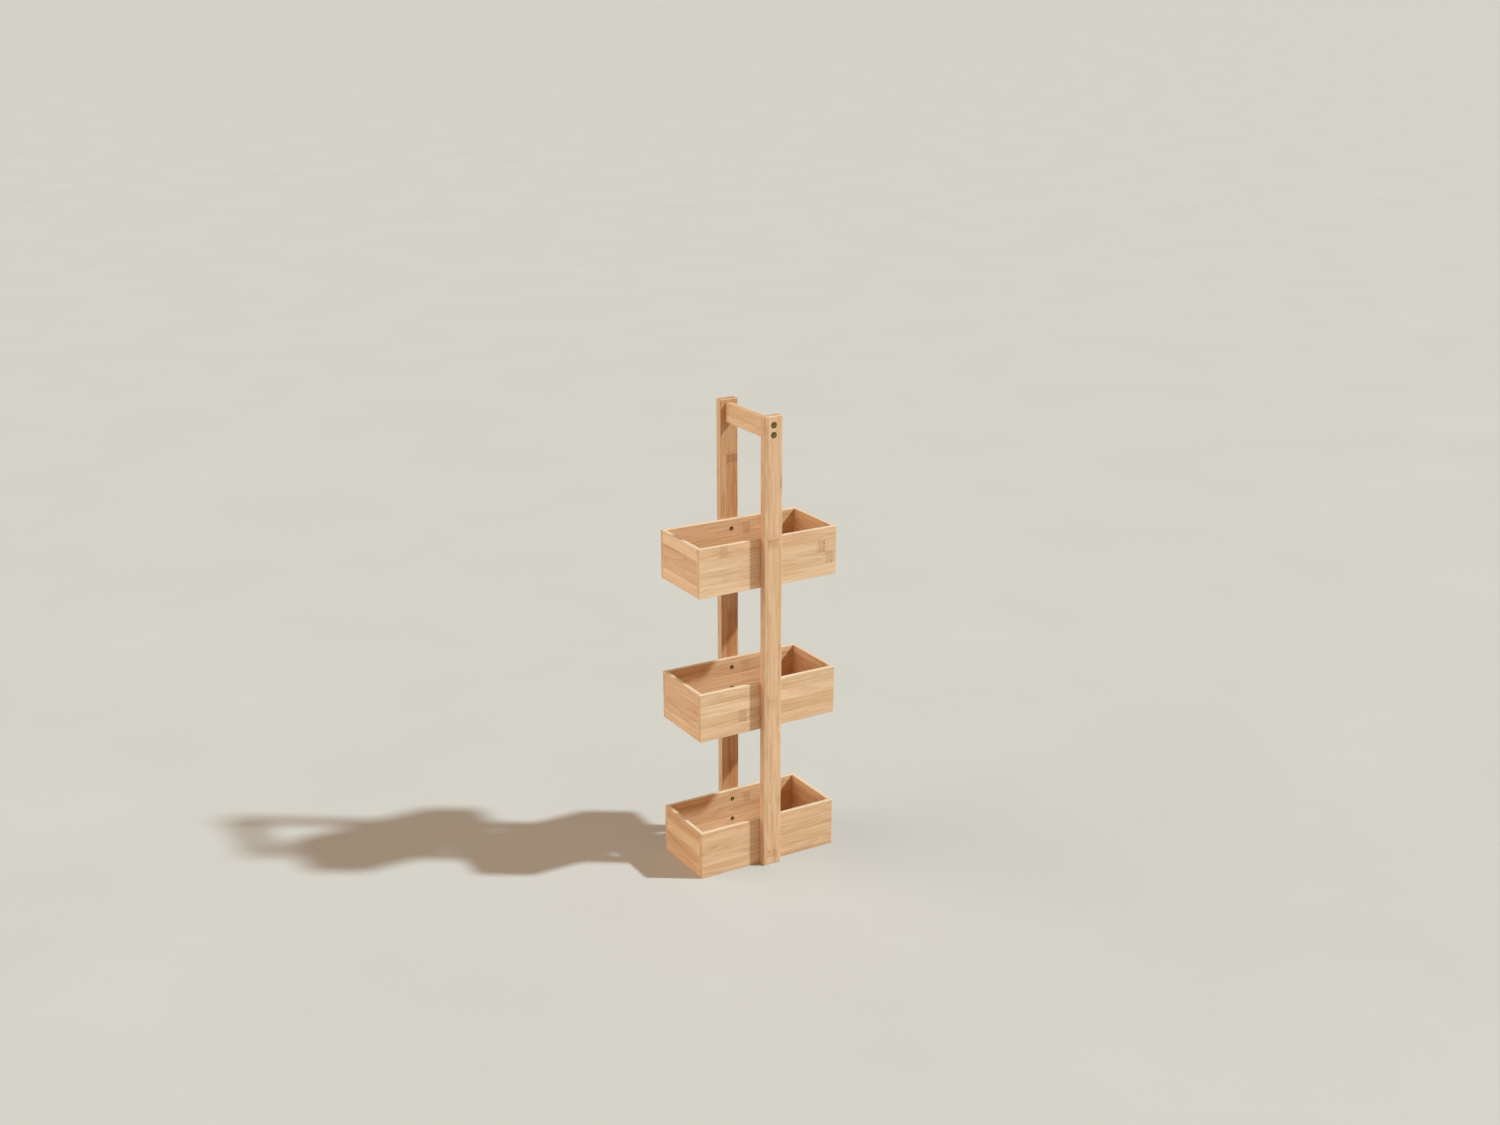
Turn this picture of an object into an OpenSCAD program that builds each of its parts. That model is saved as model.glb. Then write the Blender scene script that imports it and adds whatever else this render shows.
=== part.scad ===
// Free-standing bamboo bathroom caddy.
// Three open boxes hang between a front and a rear upright, and a short bar joins the
// uprights near their tops as a carrying handle.
// X runs along the boxes, Y from front to rear and Z up. The origin is on the floor,
// under the middle of the caddy.

/* [Uprights] */
// Overall height of the caddy
height = 820; // [760:5:1000]
// Width of an upright, seen from the front
upright_w = 35; // [26:1:45]
// Thickness of an upright, front to rear
upright_t = 14; // [14:1:22]
// Radius of the eased edges of the uprights
upright_edge_r = 1.5; // [0.5:0.25:3]

/* [Handle] */
// Thickness of the handle bar, seen from the front
bar_t = 14; // [13:1:24]
// Height of the handle bar
bar_h = 34; // [30:1:45]
// Distance from the tops of the uprights down to the bar
bar_drop = 7; // [4:1:30]
// Radius of the bar's rounded edges
bar_edge_r = 2; // [0.5:0.5:5]

/* [Boxes] */
// Outer length of a box, side to side
box_l = 272; // [200:4:420]
// Outer depth of a box, which sets how far apart the uprights stand
box_d = 134; // [110:2:220]
// Height of a box
box_h = 87; // [70:1:120]
// Height from one box to the next
box_pitch = 260; // [200:5:290]
// Thickness of the four walls of a box
wall_t = 7; // [7:0.5:12]
// Radius of the eased edges of a box
box_edge_r = 1; // [0.5:0.25:2]

/* [Box floors] */
// Thickness of a floor panel
floor_t = 5; // [4:0.5:8]
// Height of a floor panel's underside above the bottom edge of its box
floor_lift = 6; // [4:0.5:10]
// Depth of the groove in each wall that holds the floor panel
groove_depth = 3; // [2.5:0.5:4]

/* [Handle screws] */
// Diameter of the handle screws over the thread
handle_screw_d = 5; // [4:0.5:5]
// Length of the handle screws with their heads
handle_screw_l = 50; // [40:5:50]
// Head diameter of the handle screws
handle_head_d = 11; // [9:0.5:12]
// Height between the two handle screws
handle_screw_pitch = 17; // [14:1:18]

/* [Box screws] */
// Diameter of the box screws over the thread
box_screw_d = 4; // [3.5:0.5:4]
// Length of the box screws with their heads
box_screw_l = 17; // [16:1:20]
// Head diameter of the box screws
box_head_d = 8; // [7:0.5:8]
// Height between the two box screws in one upright
box_screw_pitch = 40; // [20:5:50]

/* [Corner dowels] */
// Diameter of the dowels in the corners of a box
dowel_d = 4; // [3:0.5:4]
// Length of the dowels
dowel_l = 24; // [18:1:30]
// Depth of a dowel's end in the long wall
dowel_sink = 4; // [3:0.5:5]
// Height between the two dowels of one corner
dowel_pitch = 44; // [24:2:44]

/* [Hidden] */
LEVELS = ["bottom", "middle", "top"];
BOX_PIECES = ["front", "rear", "left_side", "right_side", "floor", "screws", "dowels"];

FRONT = -1;
REAR = 1;
LEFT = -1;
RIGHT = 1;
$fn = 48;

cut = 0.5;                // how far a cutting shape runs past the surface it opens
screw_gap = 0.1;          // clearance all round a screw where it passes through its first board
thread_gap = 0.05;        // clearance round the screw threads and the dowels in their holes
slot_gap = 0.2;           // spare height of the floor groove
floor_gap = 0.5;          // room for the floor panel to swell, at each edge
hole_spare = 2;           // how much deeper a pilot hole is than its screw or dowel

inner_l = box_l - 2 * wall_t;
inner_d = box_d - 2 * wall_t;
floor_top = floor_lift + floor_t;
wall_mid_z = (floor_top + box_h) / 2;
bar_mid_z = height - bar_drop - bar_h / 2;
upright_y = (box_d + upright_t) / 2;
outer_face_y = box_d / 2 + upright_t;

bamboo = "#d9a978";
pale_bamboo = "#e6c79c";
dark_brass = "#4f4018";

// ---------- shapes ----------

// Flat rectangle with true quarter-round corners
module rounded_rect(w, h, r) {
    square([w - 2 * r, h], center = true);
    square([w, h - 2 * r], center = true);
    for (x = [-1, 1], y = [-1, 1])
        translate([x * (w / 2 - r), y * (h / 2 - r)])
            circle(r);
}

// Block with every edge rounded, centred in X and Y and standing on Z = 0
module eased_block(l, d, h, r) {
    translate([0, 0, h / 2])
        intersection() {
            linear_extrude(h, center = true) rounded_rect(l, d, r);
            rotate([90, 0, 0]) linear_extrude(d, center = true) rounded_rect(l, h, r);
            rotate([0, 90, 0]) linear_extrude(l, center = true) rounded_rect(h, d, r);
        }
}

// Section of a box's opening, which flares where the walls' edges are rounded
module opening_section(w, h, r) {
    difference() {
        square([w + 2 * r, h + 2 * cut], center = true);
        for (side = [-1, 1])
            translate([side * (w / 2 + 2 * r), 0])
                rounded_rect(4 * r, h, r);
    }
}

// The space inside a box's four walls
module box_opening() {
    translate([0, 0, box_h / 2])
        intersection() {
            rotate([90, 0, 0])
                linear_extrude(box_d, center = true) opening_section(inner_l, box_h, box_edge_r);
            rotate([90, 0, 90])
                linear_extrude(box_l, center = true) opening_section(inner_d, box_h, box_edge_r);
        }
}

// The four walls of a box as one ring, before it is divided into boards
module box_ring() {
    difference() {
        eased_block(box_l, box_d, box_h, box_edge_r);
        box_opening();
        translate([0, 0, floor_lift + (floor_t + slot_gap) / 2])
            cube([inner_l + 2 * groove_depth, inner_d + 2 * groove_depth, floor_t + slot_gap],
                 center = true);
    }
}

// Countersunk wood screw: the head's flat top is at the origin and the point towards -Z
module screw(d, l, head_d) {
    rim = 0.4;
    head_h = rim + (head_d - d) / 2;
    tip_h = d;
    recess_l = 0.52 * head_d;
    recess_w = 0.13 * head_d;
    recess_depth = 0.6 * head_h;
    difference() {
        rotate_extrude()
            polygon([
                [0, 0], [head_d / 2, 0], [head_d / 2, -rim], [d / 2, -head_h],
                [d / 2, tip_h - l], [0, -l]
            ]);
        for (turn = [0, 90])
            rotate([0, 0, turn])
                translate([0, 0, -recess_depth / 2 + cut / 2])
                    cube([recess_l, recess_w, recess_depth + cut], center = true);
    }
}

// Hole for such a screw through its first board, with room for its head
module screw_hole(d, l, head_d) {
    rim = 0.4;
    head_h = rim + (head_d - d) / 2;
    r = d / 2 + screw_gap;
    head_r = head_d / 2 + screw_gap;
    rotate_extrude()
        polygon([[0, cut], [head_r, cut], [head_r, -rim], [r, -head_h], [r, -l], [0, -l]]);
}

// Turns a shape that points down -Z so that it points inwards from the front or rear face
module facing(side) {
    rotate([side == FRONT ? 90 : -90, 0, 0]) children();
}

// Turns a shape that points down -Z so that it points outwards through the front or rear wall
module facing_out(side) {
    rotate([side == FRONT ? -90 : 90, 0, 0]) children();
}

// ---------- places ----------

// The two screws that hold one end of the handle bar
module at_handle_screws(side) {
    for (z = [-1, 1] * handle_screw_pitch / 2)
        translate([0, side * outer_face_y, bar_mid_z + z])
            facing(side) children();
}

// The two screws that hold one long wall of a box to its upright
module at_box_screws(side) {
    for (z = [-1, 1] * box_screw_pitch / 2)
        translate([0, side * inner_d / 2, wall_mid_z + z])
            facing_out(side) children();
}

// The dowels of one box, pointing from the long wall on one side into the short walls
module at_dowels(side) {
    for (x = [LEFT, RIGHT] * (box_l - wall_t) / 2, z = [-1, 1] * dowel_pitch / 2)
        translate([x, side * (inner_d / 2 + dowel_sink), wall_mid_z + z])
            facing(side) children();
}

// Height of one of the boxes
module at_level(level) {
    translate([0, 0, level * box_pitch]) children();
}

// ---------- holes ----------

module handle_pilot_holes(side) {
    at_handle_screws(side)
        translate([0, 0, -handle_screw_l - hole_spare])
            cylinder(h = handle_screw_l, d = handle_screw_d + 2 * thread_gap);
}

module box_screw_pilots(side) {
    at_box_screws(side)
        translate([0, 0, -box_screw_l - hole_spare])
            cylinder(h = box_screw_l, d = box_screw_d + 2 * thread_gap);
}

module dowel_holes(side) {
    at_dowels(side)
        translate([0, 0, -dowel_l - hole_spare])
            cylinder(h = dowel_l + hole_spare + thread_gap, d = dowel_d + 2 * thread_gap);
}

// ---------- sub-parts ----------

// One of the two posts, drilled for the handle and for every box
module upright(side) {
    color(bamboo)
        difference() {
            translate([0, side * upright_y, 0])
                eased_block(upright_w, upright_t, height, upright_edge_r);
            at_handle_screws(side)
                screw_hole(handle_screw_d, upright_t + cut, handle_head_d);
            for (level = [0 : len(LEVELS) - 1])
                at_level(level) box_screw_pilots(side);
        }
}

module handle_bar() {
    color(bamboo)
        difference() {
            translate([0, 0, bar_mid_z])
                rotate([90, 0, 0])
                    linear_extrude(box_d, center = true) rounded_rect(bar_t, bar_h, bar_edge_r);
            for (side = [FRONT, REAR])
                handle_pilot_holes(side);
        }
}

module handle_screws(side) {
    color(dark_brass)
        at_handle_screws(side) screw(handle_screw_d, handle_screw_l, handle_head_d);
}

// Front or rear wall, which runs the full length of the box
module long_wall(side) {
    color(bamboo)
        difference() {
            intersection() {
                box_ring();
                translate([-box_l / 2, side == FRONT ? -box_d / 2 : inner_d / 2, 0])
                    cube([box_l, wall_t, box_h]);
            }
            at_box_screws(side) screw_hole(box_screw_d, wall_t + cut, box_head_d);
            dowel_holes(side);
        }
}

// Left or right wall, which fits between the two long walls
module short_wall(side) {
    color(bamboo)
        difference() {
            intersection() {
                box_ring();
                translate([side == LEFT ? -box_l / 2 : inner_l / 2, -inner_d / 2, 0])
                    cube([wall_t, inner_d, box_h]);
            }
            for (end = [FRONT, REAR])
                dowel_holes(end);
        }
}

module box_floor() {
    spread = 2 * (groove_depth - floor_gap);
    color(pale_bamboo)
        translate([0, 0, floor_lift + floor_t / 2])
            cube([inner_l + spread, inner_d + spread, floor_t], center = true);
}

module box_screws() {
    color(dark_brass)
        for (side = [FRONT, REAR])
            at_box_screws(side) screw(box_screw_d, box_screw_l, box_head_d);
}

module dowels() {
    color(pale_bamboo)
        for (side = [FRONT, REAR])
            at_dowels(side)
                translate([0, 0, -dowel_l]) cylinder(h = dowel_l, d = dowel_d);
}

// One piece of a box, by its name in BOX_PIECES
module box_piece(piece) {
    if (piece == "front") long_wall(FRONT);
    if (piece == "rear") long_wall(REAR);
    if (piece == "left_side") short_wall(LEFT);
    if (piece == "right_side") short_wall(RIGHT);
    if (piece == "floor") box_floor();
    if (piece == "screws") box_screws();
    if (piece == "dowels") dowels();
}

upright(FRONT);  // front_upright
upright(REAR);  // rear_upright
handle_bar();
handle_screws(FRONT);  // front_handle_screws
handle_screws(REAR);  // rear_handle_screws
for (level = [0 : len(LEVELS) - 1], piece = BOX_PIECES)
    at_level(level) box_piece(piece);
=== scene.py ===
import math
from collections import namedtuple

import bmesh
import bpy
from mathutils import Matrix, Vector


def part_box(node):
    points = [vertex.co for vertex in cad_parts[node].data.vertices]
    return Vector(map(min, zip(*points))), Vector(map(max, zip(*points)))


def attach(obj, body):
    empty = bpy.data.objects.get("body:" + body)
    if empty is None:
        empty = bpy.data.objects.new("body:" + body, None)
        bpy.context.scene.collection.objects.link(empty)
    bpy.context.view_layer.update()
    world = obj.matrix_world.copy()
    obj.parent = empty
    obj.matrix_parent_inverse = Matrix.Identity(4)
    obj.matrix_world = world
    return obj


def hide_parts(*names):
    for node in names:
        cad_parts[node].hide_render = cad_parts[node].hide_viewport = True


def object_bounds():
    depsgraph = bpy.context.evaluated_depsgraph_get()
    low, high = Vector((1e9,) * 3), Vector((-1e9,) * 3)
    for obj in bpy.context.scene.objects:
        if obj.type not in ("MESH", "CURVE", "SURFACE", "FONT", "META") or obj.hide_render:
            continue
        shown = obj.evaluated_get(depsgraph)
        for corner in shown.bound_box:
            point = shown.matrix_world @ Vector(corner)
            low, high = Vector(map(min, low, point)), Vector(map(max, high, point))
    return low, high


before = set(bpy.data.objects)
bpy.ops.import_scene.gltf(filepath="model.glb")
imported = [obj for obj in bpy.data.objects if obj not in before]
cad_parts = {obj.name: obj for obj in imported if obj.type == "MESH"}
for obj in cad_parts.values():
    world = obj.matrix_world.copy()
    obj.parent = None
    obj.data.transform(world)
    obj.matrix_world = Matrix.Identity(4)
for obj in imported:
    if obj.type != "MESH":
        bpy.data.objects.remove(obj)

MM = 0.001
AXES = "XYZ"
LEVELS = ("bottom", "middle", "top")
# The way from the front towards the rear along Y, and the way back
FRONT = 1
REAR = -1

# Which output of the Texture Coordinate and Attribute nodes is used
GENERATED_PLACE = 0
OBJECT_PLACE = 3
ATTRIBUTE_FACTOR = 2
# Which inputs of the Mix node are its factor and its two colours
MIX_INPUTS = (0, 6, 7)

cad_low, cad_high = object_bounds()


# ---------- node helpers ----------

class Nodes:
    """A node tree, with short ways to add a node and get its output."""

    def __init__(self, tree):
        self.tree = tree

    def feed(self, socket, value):
        """Joins a socket to an output, or gives it a plain value."""
        if isinstance(value, bpy.types.NodeSocket):
            self.tree.links.new(value, socket)
        elif value is not None:
            socket.default_value = value

    def new(self, kind, *values, output=0, **settings):
        """Adds a node, fills its inputs in order and returns one of its outputs."""
        node = self.tree.nodes.new("ShaderNode" + kind)
        for name, value in settings.items():
            setattr(node, name, value)
        for socket, value in zip(node.inputs, values):
            self.feed(socket, value)
        return node.outputs[output]

    def math(self, operation, *values, clamp=False):
        """The result of a Math node."""
        return self.new("Math", *values, operation=operation, use_clamp=clamp)

    def add(self, *values):
        total = values[0]
        for value in values[1:]:
            total = self.math("ADD", total, value)
        return total

    def sub(self, a, b):
        return self.math("SUBTRACT", a, b)

    def mul(self, *values):
        product = values[0]
        for value in values[1:]:
            product = self.math("MULTIPLY", product, value)
        return product

    def highest(self, *values):
        top = values[0]
        for value in values[1:]:
            top = self.math("MAXIMUM", top, value)
        return top

    def centred(self, value, amount):
        """A value from 0 to 1, turned into one from -amount / 2 to amount / 2."""
        return self.mul(self.sub(value, 0.5), amount)

    def fade(self, value, start, end):
        """1 up to start, falling smoothly to 0 at end. With end before start it rises instead."""
        if start < end:
            return self.new("MapRange", value, start, end, 1.0, 0.0, interpolation_type="SMOOTHSTEP")
        return self.new("MapRange", value, end, start, 0.0, 1.0, interpolation_type="SMOOTHSTEP")

    def parts(self, vector):
        """The three parts of a vector."""
        node = self.tree.nodes.new("ShaderNodeSeparateXYZ")
        self.feed(node.inputs[0], vector)
        return node.outputs

    def vector(self, operation, *values):
        return self.new("VectorMath", *values, operation=operation)

    def noise(self, place, per_metre, detail=2.0, roughness=0.5):
        """Smooth noise from 0 to 1, with its own number of features per metre along each axis."""
        scaled = self.vector("MULTIPLY", place, per_metre)
        return self.new("TexNoise", scaled, None, 1.0, detail, roughness)

    def blend(self, amount, a, b, kind="MIX"):
        """Colour b laid over colour a."""
        node = self.tree.nodes.new("ShaderNodeMix")
        node.data_type = "RGBA"
        node.blend_type = kind
        for index, value in zip(MIX_INPUTS, (amount, a, b)):
            self.feed(node.inputs[index], value)
        return node.outputs[2]

    def bump(self, height, strength, distance):
        """The surface normal of a relief."""
        node = self.tree.nodes.new("ShaderNodeBump")
        node.inputs["Strength"].default_value = strength
        node.inputs["Distance"].default_value = distance
        self.feed(node.inputs["Height"], height)
        return node.outputs["Normal"]

    def finish(self, shader, colour, roughness, normal):
        """Gives a Principled shader its colour, roughness and relief."""
        self.feed(shader.inputs["Base Color"], colour)
        self.feed(shader.inputs["Roughness"], roughness)
        self.feed(shader.inputs["Normal"], normal)


def new_group(name, inputs, outputs):
    """An empty shader group, with the outputs of its input node and its output node."""
    tree = bpy.data.node_groups.new(name, "ShaderNodeTree")
    for socket, kind in inputs.items():
        tree.interface.new_socket(socket, in_out="INPUT", socket_type="NodeSocket" + kind)
    for socket, kind in outputs.items():
        tree.interface.new_socket(socket, in_out="OUTPUT", socket_type="NodeSocket" + kind)
    given = tree.nodes.new("NodeGroupInput")
    result = tree.nodes.new("NodeGroupOutput")
    return tree, given.outputs, result.inputs


def new_material(name):
    """A material with only its Principled shader, and the helper for its node tree."""
    material = bpy.data.materials.new(name)
    material.use_nodes = True
    shader = material.node_tree.nodes["Principled BSDF"]
    return material, Nodes(material.node_tree), shader


# ---------- bamboo ----------

# The palest and the deepest colour of a strip; every strip lies between the two
PALE = (0.80, 0.560, 0.345, 1)
DEEP = (0.448, 0.185, 0.055, 1)
# The brown of knuckles, open fibres and glue lines
KNUCKLE = (0.27, 0.112, 0.036, 1)
END_GRAIN = (0.42, 0.225, 0.100, 1)
# Multiplies the colour of some strips, which makes them a little pinker
ROSY = (1.0, 0.945, 0.93, 1)
# The paler colour of rubbed corners, which also paints a highlight on them, and the painted sheen on
# the edges of a wall
WORN_AND_HIGHLIT = (0.86, 0.62, 0.39, 1)
EDGE_SHEEN = (0.75, 0.64, 0.49, 1)

# How often each pattern repeats per metre: along, across and through a board
FLOW = (4.5, 52, 52)
BROAD = (6, 60, 60)
BAND = (12, 210, 210)
STREAK = (24, 650, 650)
FIBRE = (40, 2300, 2300)
COMING_AND_GOING = (14, 3, 3)
WANDER = (20, 170, 170)
BREAKS = (90, 420, 420)
FLECK = (220, 1000, 1000)
WEAR_AND_HIGHLIGHT_PATCH = (60, 60, 60)

# What makes up the depth of a strip's colour, which goes from 0 for PALE to 1 for DEEP
USUAL_DEPTH = 0.26
TONE_RANGE = 0.36
BROAD_RANGE = 0.55
BAND_RANGE = 0.48
STREAK_RANGE = 0.38
LINE_DEPTH = 0.22
NEAR_KNUCKLE_DEPTH = 0.05

# How strongly worn corners with their painted highlight, open fibres, glue lines and butting ends
# show
WEAR_AND_HIGHLIGHT = 0.38
OPEN_FIBRE = 0.28
GLUE_LINE = 0.48
BUTTING_END = 0.55

# Distance from one knuckle of a cane to the next
KNUCKLE_SPACING = 0.29
# How far the knuckles move along with each group of four strips, and with each ply
GROUP_STEP = 0.10
PLY_STEP = 0.13
# A knuckle's strength: the least, what chance adds at most, and what a deep colour adds
LEAST_STRENGTH = 0.15
STRENGTH_RANGE = 1.15
STRENGTH_IN_DEEP = 1.6
STRONGEST_MARK = 0.85
TINT = 0.21
FLECKS = 0.36
# A knuckle's tint reaches this far from its middle, and has gone at the second distance
TINT_REACH = 5.0 * MM
TINT_END = 8.5 * MM
# Where its two fine lines lie, how wide they are and how strong
UPPER_LINE = (5.2 * MM, 1.5 * MM, 0.75)
LOWER_LINE = (-4.2 * MM, 1.3 * MM, 0.45)
# The faces that lie across the strips take the colour of the strip this far inside them
SKIN = 0.3 * MM
# How far one ply's strips are shifted against the next, as part of a strip
PLY_SHIFT = 0.43


def picked(n, number, choices):
    """The choice whose place in the list is the given whole number."""
    value = choices[0]
    for place in range(1, len(choices)):
        reached = n.math("GREATER_THAN", number, place - 0.5)
        value = n.add(value, n.mul(reached, n.sub(choices[place], choices[place - 1])))
    return value


def strip_layout(n, given):
    """Which strip of which ply a point is in, and how near it is to the glue round that strip."""
    along, across, through = n.parts(given["Place"])
    half_across, half_through = n.parts(given["Half size"])[1:]
    thickness = n.mul(half_through, 2.0)
    ply = n.mul(n.math("DIVIDE", n.add(through, half_through), thickness), given["Plies"])
    margin = 0.02
    ply = n.math("MAXIMUM", n.math("MINIMUM", ply, n.sub(given["Plies"], margin)), margin)
    ply_number = n.math("FLOOR", ply)
    limit = n.sub(half_across, SKIN)
    inner_across = n.math("MAXIMUM", n.math("MINIMUM", across, limit), n.mul(limit, -1.0))
    strip = n.math("DIVIDE", n.add(inner_across, half_across), given["Strip width"])
    strip = n.add(strip, given["Strip shift"], n.mul(ply_number, PLY_SHIFT))
    strip_number = n.math("FLOOR", strip)

    def glue_distance(position, size):
        middle = n.math("ABSOLUTE", n.sub(n.math("FRACT", position), 0.5))
        return n.mul(n.sub(0.5, middle), size)

    to_side_glue = glue_distance(strip, given["Strip width"])
    to_flat_glue = glue_distance(ply, n.math("DIVIDE", thickness, given["Plies"]))
    inside = n.fade(n.sub(half_through, n.math("ABSOLUTE", through)), 1.2 * MM, 0.5 * MM)
    glue = n.highest(
        n.fade(to_side_glue, 0.1 * MM, 0.4 * MM),
        n.mul(n.fade(to_flat_glue, 0.1 * MM, 0.4 * MM), inside),
    )
    return along, ply_number, strip_number, glue


def knuckle_marks(n, given, along, ply_number, strip_number, local):
    """The marks where the cane had its joints: fine lines across, a brown tint and flecks.

    Each has its own strength, and they are stronger on a deeper coloured board.
    """
    places = [*n.parts(given["Knuckles"]), given["Last knuckle"]]
    start = n.add(
        picked(n, n.math("FLOORED_MODULO", strip_number, 4.0), places),
        n.mul(n.math("FLOOR", n.mul(strip_number, 0.25)), GROUP_STEP),
        n.mul(ply_number, PLY_STEP),
    )
    phase = n.add(n.math("DIVIDE", n.sub(along, start), KNUCKLE_SPACING), 0.5)
    strength_name = n.new(
        "CombineXYZ",
        n.add(strip_number, n.mul(ply_number, 17.0)),
        n.add(n.math("FLOOR", phase), 0.5),
        given["Seed"],
    )
    chance = n.new("TexWhiteNoise", strength_name)
    strength = n.add(LEAST_STRENGTH, n.mul(chance, STRENGTH_RANGE))
    strength = n.mul(strength, n.add(1.0, n.mul(given["Depth"], STRENGTH_IN_DEEP)))
    distance = n.mul(n.sub(n.math("FRACT", phase), 0.5), KNUCKLE_SPACING)
    distance = n.add(distance, n.centred(n.noise(local, WANDER, 3.0), 5.0 * MM))
    away = n.math("ABSOLUTE", distance)
    broken = n.noise(local, BREAKS, 2.0)

    def line(place, width, amount):
        nearness = n.fade(n.math("ABSOLUTE", n.sub(distance, place)), 0.3 * width, width)
        return n.mul(nearness, n.fade(broken, 0.62, 0.40), amount)

    nearby = n.fade(away, 3.0 * MM, 20.0 * MM)
    flecks = n.mul(n.fade(n.noise(local, FLECK, 1.0), 0.70, 0.58), nearby, FLECKS)
    tint = n.mul(n.fade(n.add(away, n.centred(broken, 4 * MM)), TINT_REACH, TINT_END), TINT)
    marks = n.highest(line(*UPPER_LINE), line(*LOWER_LINE), tint, flecks)
    return n.math("MINIMUM", n.mul(marks, strength), STRONGEST_MARK), nearby


def grain_lines(n, local):
    """Long tapering lines, from the level curves of a noise that is drawn out along the grain."""
    levels = 8.0
    flow = n.noise(local, FLOW, 1.5)
    step = n.math("FRACT", n.mul(flow, levels))
    return n.math("POWER", step, 2.5)


def bamboo_group():
    """Laminated bamboo: plies of parallel strips, each with its own tone, streaks and knuckles."""
    tree, given, result = new_group(
        "laminated_bamboo",
        {
            "Place": "Vector", "Half size": "Vector", "Plies": "Float", "Strip width": "Float",
            "Strip shift": "Float", "Knuckles": "Vector", "Last knuckle": "Float",
            "Seed": "Float", "Depth": "Float", "Edge sheen": "Float", "Joint": "Float",
        },
        {"Colour": "Color", "Roughness": "Float", "Height": "Float"},
    )
    n = Nodes(tree)
    along, ply_number, strip_number, glue = strip_layout(n, given)
    strip_name = n.new("CombineXYZ", strip_number, ply_number, given["Seed"])
    tone = n.new("TexWhiteNoise", strip_name)
    chances = n.new("TexWhiteNoise", n.vector("ADD", strip_name, (7.3, 1.9, 4.1)), output=1)
    hue = n.parts(chances)[0]

    local = n.vector("ADD", given["Place"], n.vector("SCALE", chances, None, None, 6.0))
    broad = n.noise(local, BROAD, 1.0)
    band = n.noise(local, BAND, 2.0)
    streak = n.noise(local, STREAK, 3.0, 0.6)
    fibre = n.noise(local, FIBRE, 2.0)
    lines = grain_lines(n, local)
    dark_fibre = n.fade(fibre, 0.70, 0.56)

    marks, nearby = knuckle_marks(n, given, along, ply_number, strip_number, local)
    come_and_go = n.fade(n.noise(local, COMING_AND_GOING), 0.62, 0.38)
    glue = n.mul(glue, n.add(0.25, n.mul(n.highest(come_and_go, nearby), 0.75)))

    inset = n.vector("SUBTRACT", given["Half size"], n.vector("ABSOLUTE", given["Place"]))
    to_end, to_edge, to_face = n.parts(inset)
    to_corner = n.math(
        "MAXIMUM",
        n.math("MINIMUM", to_end, to_edge),
        n.math("MINIMUM", n.math("MAXIMUM", to_end, to_edge), to_face),
    )
    # Worn corners are paler, and the paler colour also paints a highlight along the eased edges
    patchy = n.noise(given["Place"], WEAR_AND_HIGHLIGHT_PATCH, 3.0)
    worn_and_highlit = n.mul(n.fade(n.add(to_corner, n.centred(patchy, 1.4 * MM)), 0.2 * MM, 1.5 * MM), WEAR_AND_HIGHLIGHT)
    end = n.fade(to_end, 0.05 * MM, 0.5 * MM)
    # side marks the edge faces of the board, where a sheen is painted
    side = n.fade(to_edge, 0.05 * MM, 0.5 * MM)

    depth = n.add(
        USUAL_DEPTH,
        given["Depth"],
        n.centred(tone, TONE_RANGE),
        n.centred(broad, BROAD_RANGE),
        n.centred(band, BAND_RANGE),
        n.centred(streak, STREAK_RANGE),
        n.mul(lines, LINE_DEPTH),
        n.mul(nearby, NEAR_KNUCKLE_DEPTH),
    )
    colour = n.blend(n.math("ADD", depth, 0.0, clamp=True), PALE, DEEP)
    colour = n.blend(hue, colour, n.blend(1.0, colour, ROSY, "MULTIPLY"))
    joint = n.mul(n.fade(to_end, 0.1 * MM, 0.5 * MM), given["Joint"])
    dark = n.highest(n.mul(dark_fibre, OPEN_FIBRE), n.mul(glue, GLUE_LINE), marks)
    colour = n.blend(dark, colour, KNUCKLE)
    colour = n.blend(n.mul(end, n.add(0.15, n.mul(dark_fibre, 0.4))), colour, END_GRAIN)
    # Painted sheen on the edge faces, then paler worn corners that also paint a highlight
    colour = n.blend(n.mul(side, given["Edge sheen"]), colour, EDGE_SHEEN)
    colour = n.blend(worn_and_highlit, colour, WORN_AND_HIGHLIT)
    colour = n.blend(n.mul(joint, BUTTING_END), colour, KNUCKLE)

    roughness = n.add(
        0.43, n.centred(streak, 0.16), n.mul(dark_fibre, 0.07), n.mul(end, 0.18), n.mul(marks, 0.15),
    )
    height = n.add(
        0.6, n.centred(streak, 0.35), n.centred(broad, 0.3), n.mul(lines, -0.1),
        n.mul(dark_fibre, -0.3), n.mul(glue, -0.6), n.mul(marks, -0.35), n.mul(joint, -0.6),
    )
    n.feed(result["Colour"], colour)
    n.feed(result["Roughness"], n.sub(roughness, n.mul(worn_and_highlit, 0.14)))
    n.feed(result["Height"], height)
    return tree


# How a board is laid up. grain, width and thickness are the axes they run along. strip is the
# width of its strips and shift the part of a strip that its first edge cuts off. knuckles says
# where a knuckle lies on each of its first four strips, in metres from the board's middle. seed
# picks its strips' tones, and how strong each knuckle is. depth is how much deeper than usual
# its colour is, which on some boards paints shade. rim is how strong a sheen is painted on its
# edges. joint is 1 where its ends butt against other boards.
Board = namedtuple(
    "Board",
    "grain width thickness plies strip shift knuckles seed depth rim joint",
    defaults=(0, 0, 0),
)

NO_KNUCKLE = KNUCKLE_SPACING / 2
PLAIN = (NO_KNUCKLE,) * 4
# How strong the painted sheen on the edges of the walls is
WALL_EDGE_SHEEN = 0.6
WALL_STRIP = 21.5 * MM

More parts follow.
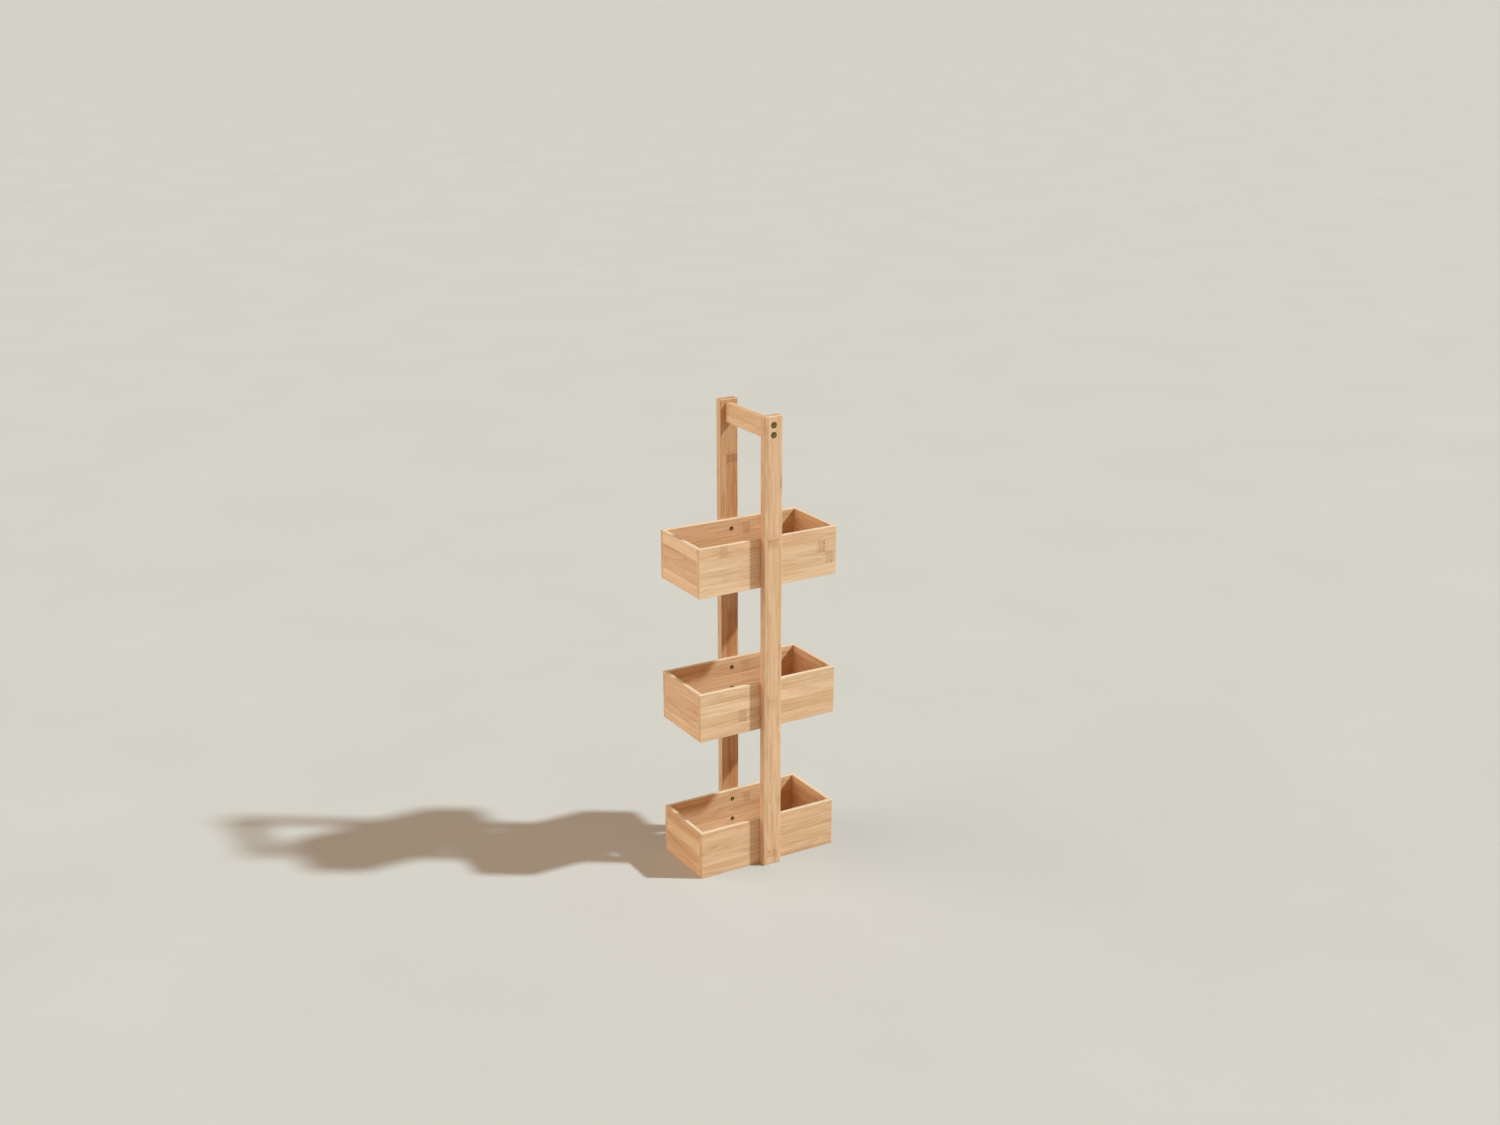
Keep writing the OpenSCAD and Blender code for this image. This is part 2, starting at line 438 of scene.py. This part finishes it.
UPRIGHTS_AND_BAR = {
    "front_upright": Board(
        "Z", "X", "Y", plies=3, strip=21 * MM, shift=0.667,
        knuckles=(0.385, 0.19, -0.29, 0), seed=8708, depth=0.04,
    ),
    # The rear upright's deeper colour is painted shade, and its rim paints its narrow side faces
    # paler again
    "rear_upright": Board(
        "Z", "X", "Y", plies=3, strip=24 * MM, shift=0.5,
        knuckles=(0.15, 0.3045, 0.15, 0), seed=3259, depth=0.46, rim=0.3,
    ),
    "handle_bar": Board(
        "Y", "Z", "X", plies=3, strip=20 * MM, shift=0.3, knuckles=PLAIN, seed=527, joint=1,
    ),
}

# What differs between the boxes: the knuckles and the seed of the front wall, and the depth of
# the colour of the front and left walls, which paints shade on the bottom box and light on the top
# one
FRONT_KNUCKLES = {
    "bottom": (0.004, -0.006, 0.002, -0.003),
    "middle": (0.003, -0.052, 0.0, 0.005),
    "top": (0.0, 0.122, 0.106, -0.088),
}
FRONT_SEED = {"bottom": 768, "middle": 3691, "top": 8907}
WALL_DEPTH_PAINTED_LIGHT = {"bottom": 0.06, "middle": -0.02, "top": -0.05}
# How far the knuckles of the other boards move from one box to the next
KNUCKLE_STEP = 0.03


def box_boards(level):
    """The lay-up of the five boards of one box, by the ends of their names."""
    low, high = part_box(f"{level}_box_front")
    quarter_strip = (high.z - low.z) / 4
    number = LEVELS.index(level)
    seed = 10 + 10 * number
    turn = KNUCKLE_STEP * number
    return {
        "front": Board(
            "X", "Z", "Y", plies=2, strip=quarter_strip, shift=0.0,
            knuckles=FRONT_KNUCKLES[level], seed=FRONT_SEED[level],
            depth=WALL_DEPTH_PAINTED_LIGHT[level], rim=WALL_EDGE_SHEEN,
        ),
        "rear": Board(
            "X", "Z", "Y", plies=2, strip=WALL_STRIP, shift=0.4,
            knuckles=(-0.1 + turn, 0.07, NO_KNUCKLE, 0.03), seed=seed + 1,
            depth=0.03, rim=WALL_EDGE_SHEEN,
        ),
        "left_side": Board(
            "Y", "Z", "X", plies=2, strip=quarter_strip, shift=0.0,
            knuckles=PLAIN, seed=seed + 2,
            depth=WALL_DEPTH_PAINTED_LIGHT[level], rim=WALL_EDGE_SHEEN, joint=1,
        ),
        "right_side": Board(
            "Y", "Z", "X", plies=2, strip=WALL_STRIP, shift=0.6,
            knuckles=(NO_KNUCKLE, 0.02 - turn, NO_KNUCKLE, -0.03), seed=seed + 3,
            rim=WALL_EDGE_SHEEN, joint=1,
        ),
        "floor": Board(
            "X", "Y", "Z", plies=1, strip=19 * MM, shift=0.3,
            knuckles=(0.05 + turn, -0.08, 0.11, -0.02), seed=seed + 4,
            depth=-0.05, joint=1,
        ),
    }


def board_table():
    """The lay-up of every board, by the name of its CAD node."""
    boards = dict(UPRIGHTS_AND_BAR)
    for level in LEVELS:
        for place, board in box_boards(level).items():
            boards[f"{level}_box_{place}"] = board
    return boards


def bamboo_material(name, board, group):
    """Bamboo for one board, measured from the board's centre along its own grain."""
    material, n, shader = new_material(f"bamboo_{name}")
    low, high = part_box(name)
    centre = (low + high) / 2
    order = [AXES.index(axis) for axis in (board.grain, board.width, board.thickness)]
    half = (high - low) / 2
    here = n.new("TexCoord", output=OBJECT_PLACE)
    x_y_z = n.parts(n.vector("SUBTRACT", here, centre))
    place = n.new("CombineXYZ", *(x_y_z[i] for i in order))
    bamboo = n.tree.nodes.new("ShaderNodeGroup")
    bamboo.node_tree = group
    values = {
        "Place": place, "Half size": Vector(half[i] for i in order), "Plies": board.plies,
        "Strip width": board.strip, "Strip shift": board.shift,
        "Knuckles": board.knuckles[:3], "Last knuckle": board.knuckles[3],
        "Seed": board.seed, "Depth": board.depth, "Edge sheen": board.rim,
        "Joint": board.joint,
    }
    for socket, value in values.items():
        n.feed(bamboo.inputs[socket], value)
    normal = n.bump(bamboo.outputs["Height"], strength=0.5, distance=0.12 * MM)
    n.finish(shader, bamboo.outputs["Colour"], bamboo.outputs["Roughness"], normal)
    shader.inputs["Specular IOR Level"].default_value = 0.4
    return material


def paint(node, material):
    """Gives every material slot of a CAD node's object this material."""
    for material_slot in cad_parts[node].material_slots:
        material_slot.material = material


def make_boards():
    """Gives every board its own bamboo."""
    group = bamboo_group()
    for name, board in board_table().items():
        paint(name, bamboo_material(name, board, group))


# ---------- turned shapes ----------
# A screw or dowel is a stack of rings round the Z axis, with its head or first end at Z = 0. It
# is then turned and moved to its place. Each point has a value from 0 to 1 for wear, which on the
# screws also marks a painted glint.

SIDES = 32
# Edges that turn by more than this stay sharp
SHARP = math.radians(32)


def circle(radius, depth):
    """The points of a ring round the axis."""
    turns = [math.tau * side / SIDES for side in range(SIDES)]
    return [(radius * math.cos(turn), radius * math.sin(turn), depth) for turn in turns]


def add_loop(bm, points, wear_and_glint):
    """Adds these points to the mesh, all with the same wear."""
    layer = bm.verts.layers.float["wear_and_glint"]
    loop = [bm.verts.new(point) for point in points]
    for vertex in loop:
        vertex[layer] = wear_and_glint
    return loop


def bridge(bm, upper, lower):
    """Joins two rings by a band of faces."""
    for i, corner in enumerate(upper):
        bm.faces.new((corner, upper[i - 1], lower[i - 1], lower[i]))


def close(bm, loop, depth):
    """Closes a ring with a fan of faces that meet on the axis."""
    tip = add_loop(bm, [(0, 0, depth)], 0.0)[0]
    for i, corner in enumerate(loop):
        bm.faces.new((corner, loop[i - 1], tip))


def make_turned_piece(node, material, places, add_shape):
    """One piece that stands for a CAD node, with a shape at each (place, direction along Y)."""
    bm = bmesh.new()
    bm.verts.layers.float.new("wear_and_glint")
    for place, direction in places:
        before = len(bm.verts)
        add_shape(bm)
        bm.verts.ensure_lookup_table()
        turn = Vector((0, 0, 1)).rotation_difference(Vector((0, direction, 0)))
        matrix = Matrix.Translation(place) @ turn.to_matrix().to_4x4()
        bmesh.ops.transform(bm, matrix=matrix, verts=bm.verts[before:])
    bmesh.ops.recalc_face_normals(bm, faces=bm.faces)
    for face in bm.faces:
        face.smooth = True
    for edge in bm.edges:
        edge.smooth = edge.calc_face_angle(0) < SHARP
    mesh = bpy.data.meshes.new(f"{node}_detailed")
    bm.to_mesh(mesh)
    bm.free()
    mesh.materials.append(material)
    piece = bpy.data.objects.new(f"{node}_detailed", mesh)
    bpy.context.scene.collection.objects.link(piece)
    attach(piece, "root")
    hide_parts(node)


# ---------- dowels ----------

def dowel_material():
    """Turned wood for the corner dowels, with fine grain along their length."""
    material, n, shader = new_material("dowel_wood")
    here = n.new("TexCoord", output=OBJECT_PLACE)
    streak = n.noise(here, (700, 40, 700), 3.0, 0.6)
    fibre = n.fade(n.noise(here, (2600, 60, 2600), 2.0), 0.66, 0.54)
    depth = n.math("ADD", 0.15, n.mul(streak, 0.4), clamp=True)
    colour = n.blend(n.mul(fibre, 0.2), n.blend(depth, PALE, DEEP), KNUCKLE)
    normal = n.bump(n.sub(streak, fibre), strength=0.4, distance=0.1 * MM)
    n.finish(shader, colour, n.add(0.6, n.centred(streak, 0.2)), normal)
    return material


# The length is the CAD's, whose box gives only the span of two dowels
DOWEL_LENGTH = 24 * MM
CHAMFER = 0.6 * MM
FLUTE_DEPTH = 0.2 * MM


def fluted_ring(radius, depth):
    """A ring whose every second point lies in a flute."""
    ring = circle(radius, depth)
    ring[1::2] = circle(radius - FLUTE_DEPTH, depth)[1::2]
    return ring


def add_dowel(bm, radius):
    """A fluted dowel with chamfered ends."""
    end_radius = radius - CHAMFER / 2
    rows = [add_loop(bm, ring, 0.0) for ring in (
        circle(end_radius, 0),
        fluted_ring(radius, CHAMFER),
        fluted_ring(radius, DOWEL_LENGTH - CHAMFER),
        circle(end_radius, DOWEL_LENGTH),
    )]
    for upper, lower in zip(rows, rows[1:]):
        bridge(bm, upper, lower)
    close(bm, rows[0], 0)
    close(bm, rows[-1], DOWEL_LENGTH)


def make_dowels(level, material):
    """The dowels in the corners of a box, which run along Y into its short walls."""
    node = f"{level}_box_dowels"
    low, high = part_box(node)
    side_low, side_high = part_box(f"{level}_box_left_side")
    radius = (side_low.x + side_high.x) / 2 - low.x
    places = []
    for y, direction in ((low.y, 1), (high.y, -1)):
        for x in (low.x + radius, high.x - radius):
            for z in (low.z + radius, high.z - radius):
                places.append((Vector((x, y, z)), direction))
    make_turned_piece(node, material, places, lambda bm: add_dowel(bm, radius))


# ---------- screws ----------

DARKEST_BRONZE = (0.030, 0.023, 0.006, 1)
PALEST_BRONZE = (0.078, 0.060, 0.018, 1)
# Brass of rubbed edges, which also paints the glint on the rim and in the cross recess
BRASS_AND_GLINT = (0.80, 0.60, 0.24, 1)


def bronze_material():
    """Dark bronzed steel, rubbed to brass on its raised edges, where the brass also paints a glint.
    """
    material, n, shader = new_material("bronzed_steel")
    here = n.new("TexCoord", output=OBJECT_PLACE)
    worn_and_highlit = n.new("Attribute", attribute_name="wear_and_glint", output=ATTRIBUTE_FACTOR)
    cloudy = n.noise(here, (900, 900, 900), 3.0, 0.6)
    scratches = n.noise(here, (2600, 2600, 5200), 2.0)
    # Brass where the screw is worn, which also paints the glint on the rim and recess edges
    rubbed_and_glinting = n.math("MULTIPLY", worn_and_highlit, n.add(0.5, cloudy), clamp=True)
    colour = n.blend(rubbed_and_glinting, n.blend(cloudy, DARKEST_BRONZE, PALEST_BRONZE), BRASS_AND_GLINT)
    roughness = n.add(0.38, n.centred(cloudy, 0.25), n.mul(rubbed_and_glinting, -0.12), n.mul(scratches, 0.1))
    normal = n.bump(n.add(scratches, cloudy), strength=0.35, distance=0.06 * MM)
    n.finish(shader, colour, roughness, normal)
    shader.inputs["Metallic"].default_value = 1.0
    return material


# Half sizes of the cross recess and its depth, as parts of the head's radius
RECESS_LENGTH = 0.52
RECESS_WIDTH = 0.13
RECESS_DEPTH = 0.34
# Radii of the screw's body, the pitch of its thread and the length of its point, likewise
CREST_RADIUS = 0.49
SHANK_RADIUS = 0.37
CORE_RADIUS = 0.33
PITCH = 0.45
POINT_LENGTH = 0.9
# The part of the screw's length that has no thread
PLAIN_LENGTH = 0.35
ROWS_PER_TURN = 8
# How quickly the ridge of the thread falls away on both sides
RIDGE_SLOPE = 2.4

# The head's rounded rim: how far inside the head's radius each ring is, its depth and its wear,
# which also paints a glint on the rim
HEAD_RIM = (
    (0.35 * MM, 0.05 * MM, 0.05),
    (0.12 * MM, 0.06 * MM, 0.3),
    (0.05 * MM, 0.16 * MM, 0.3),
    (0.05 * MM, 0.36 * MM, 0.1),
)
FLAT_RIM = 0.9 * MM
DISH = 0.12 * MM


def cross(arm, half_width, depth):
    """The twelve corners of a cross, in order."""
    corners = []
    for quarter in range(4):
        turn = math.tau * quarter / 4
        for u, v in ((arm, -half_width), (arm, half_width), (half_width, half_width)):
            corners.append((
                u * math.cos(turn) - v * math.sin(turn),
                u * math.sin(turn) + v * math.cos(turn),
                depth,
            ))
    return corners


def thread_row(depth, start, end, pitch, core, crest):
    """One ring of the threaded part, with the ridge of the thread where it crosses this depth."""
    row = []
    for side in range(SIDES):
        turn = side / SIDES
        ridge = abs((depth / pitch - turn) % 1 - 0.5) * 2
        ridge = max(0.0, 1 - RIDGE_SLOPE * (1 - ridge))
        swell = min(1.0, (depth - start) / pitch, (end - depth) / (2 * pitch))
        radius = core + (crest - core) * ridge * max(0.0, swell)
        row.append((radius * math.cos(math.tau * turn), radius * math.sin(math.tau * turn), depth))
    return row


def edges_of(bm, loop):
    """The edges of a ring, made where they don't exist yet."""
    return [bm.edges.get((corner, loop[i - 1])) or bm.edges.new((corner, loop[i - 1]))
            for i, corner in enumerate(loop)]


def add_head(bm, radius):
    """The dished top of the head with its cross recess. Returns the ring at the head's rim."""
    arm = RECESS_LENGTH * radius
    half_width = RECESS_WIDTH * radius
    recess_depth = RECESS_DEPTH * radius
    # The wear values here also paint the glint, strongest at the mouth of the recess
    lip = add_loop(bm, cross(arm * 1.10, half_width * 1.35, DISH), 0.15)
    mouth = add_loop(bm, cross(arm, half_width, DISH + 0.10 * MM), 0.9)
    foot = add_loop(bm, cross(arm * 0.55, half_width * 0.55, recess_depth * 0.85), 0.0)
    bridge(bm, lip, mouth)
    bridge(bm, mouth, foot)
    close(bm, foot, recess_depth)
    face = add_loop(bm, circle(radius - FLAT_RIM, DISH), 0.1)
    bmesh.ops.triangle_fill(bm, use_beauty=True, edges=edges_of(bm, lip) + edges_of(bm, face))
    for inset, depth, wear_and_glint in HEAD_RIM:
        rim = add_loop(bm, circle(radius - inset, depth), wear_and_glint)
        bridge(bm, face, rim)
        face = rim
    return face


def add_screw(bm, length, radius):
    """A countersunk wood screw with a cross recess. radius is its head's."""
    crest = CREST_RADIUS * radius
    shank = SHANK_RADIUS * radius
    core = CORE_RADIUS * radius
    pitch = PITCH * radius
    neck = 0.4 * MM + radius - shank
    start = max(neck + pitch / 2, PLAIN_LENGTH * length)
    end = length - POINT_LENGTH * radius
    row = add_head(bm, radius)
    for depth in (neck, start - pitch / 4):
        below = add_loop(bm, circle(shank, depth), 0.0)
        bridge(bm, row, below)
        row = below
    rows = math.ceil((end - start) / pitch * ROWS_PER_TURN)
    for number in range(rows + 1):
        depth = start + (end - start) * number / rows
        below = add_loop(bm, thread_row(depth, start, end, pitch, core, crest), 0.2)
        bridge(bm, row, below)
        row = below
    close(bm, row, length - 0.1 * MM)


def make_screws(node, material, length, radius, heads):
    """The screws of one CAD node. heads says where each is and which way along Y it points."""
    make_turned_piece(node, material, heads, lambda bm: add_screw(bm, length, radius))


def make_handle_screws(side, material):
    """The screws through the upright on one side into the handle bar."""
    node = "front_handle_screws" if side == FRONT else "rear_handle_screws"
    low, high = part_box(node)
    radius = (high.x - low.x) / 2
    outer = low.y if side == FRONT else high.y
    heads = [(Vector((0, outer, z)), side) for z in (low.z + radius, high.z - radius)]
    make_screws(node, material, high.y - low.y, radius, heads)


def make_box_screws(level, material):
    """The screws from inside a box through its long walls into the uprights."""
    node = f"{level}_box_screws"
    low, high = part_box(node)
    radius = (high.x - low.x) / 2
    front_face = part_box(f"{level}_box_front")[1].y
    rear_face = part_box(f"{level}_box_rear")[0].y
    heads = []
    for y, direction in ((front_face, -1), (rear_face, 1)):
        for z in (low.z + radius, high.z - radius):
            heads.append((Vector((0, y, z)), direction))
    make_screws(node, material, high.y - rear_face, radius, heads)


# ---------- camera, floor and light ----------

def make_camera():
    """The camera, at the photograph's viewing angle."""
    looking_down = 18.207
    turned_right = 30.668
    data = bpy.data.cameras.new("camera")
    data.sensor_width = 36
    data.lens = 42.505
    data.clip_end = 1000
    camera = bpy.data.objects.new("camera", data)
    bpy.context.scene.collection.objects.link(camera)
    camera.location = (-1.4825, -2.5037, 1.5007)
    camera.rotation_euler = (math.radians(90 - looking_down), 0, math.radians(-turned_right))
    bpy.context.scene.camera = camera


FLOOR_DARK = (0.515, 0.49, 0.46, 1)
FLOOR_PALE = (0.555, 0.53, 0.50, 1)
# Metres across, so that its edge lies at the horizon
FLOOR_SIZE = 600


def floor_material():
    """Plain pale matt floor, slightly cloudy."""
    material, n, shader = new_material("pale_floor")
    here = n.new("TexCoord", output=OBJECT_PLACE)
    cloudy = n.noise(here, (2.2, 2.2, 2.2), 4.0)
    n.feed(shader.inputs["Base Color"], n.blend(cloudy, FLOOR_DARK, FLOOR_PALE))
    shader.inputs["Roughness"].default_value = 0.8
    shader.inputs["Specular IOR Level"].default_value = 0.2
    return material


def make_floor():
    """The floor that the caddy stands on, wide enough to reach the horizon."""
    bpy.ops.mesh.primitive_plane_add(size=FLOOR_SIZE, location=(0, 0, cad_low.z))
    floor = bpy.context.object
    floor.name = "studio_floor"
    floor.data.materials.append(floor_material())


def make_light(name, energy, spread, colour, height, turn):
    """Light from far off. spread is its softness and height how high it stands, in degrees."""
    data = bpy.data.lights.new(name, "SUN")
    data.energy = energy
    data.angle = math.radians(spread)
    data.color = colour
    light = bpy.data.objects.new(name, data)
    bpy.context.scene.collection.objects.link(light)
    light.rotation_euler = (math.radians(90 - height), 0, math.radians(turn))


def make_lights():
    """The key from the front right, a broad fill from the left and a weak warm one in front."""
    make_light("key", energy=3.72, spread=3, colour=(0.80, 0.99, 1.07), height=41, turn=57)
    make_light("fill", energy=1.5, spread=60, colour=(1.03, 0.93, 0.82), height=24, turn=-115)
    make_light("front_fill", energy=0.32, spread=110, colour=(1.0, 0.50, 0.22), height=25, turn=-35)


SKY_HIGH = (0.36, 0.27, 0.18, 1)
SKY_LOW = (0.70, 0.672, 0.61, 1)


def make_world():
    """Soft light from all round, palest at the horizon, where it meets the floor."""
    world = bpy.data.worlds.new("studio")
    world.use_nodes = True
    n = Nodes(world.node_tree)
    height = n.parts(n.new("TexCoord", output=GENERATED_PLACE))[2]
    low_down = n.fade(height, 0.0, 0.45)
    background = world.node_tree.nodes["Background"]
    n.feed(background.inputs["Color"], n.blend(low_down, SKY_HIGH, SKY_LOW))
    bpy.context.scene.world = world
    bpy.context.scene.view_settings.view_transform = "Standard"


make_boards()
bronze = bronze_material()
for end in (FRONT, REAR):
    make_handle_screws(end, bronze)
dowel_wood = dowel_material()
for level_name in LEVELS:
    make_box_screws(level_name, bronze)
    make_dowels(level_name, dowel_wood)
make_floor()
make_lights()
make_world()
make_camera()
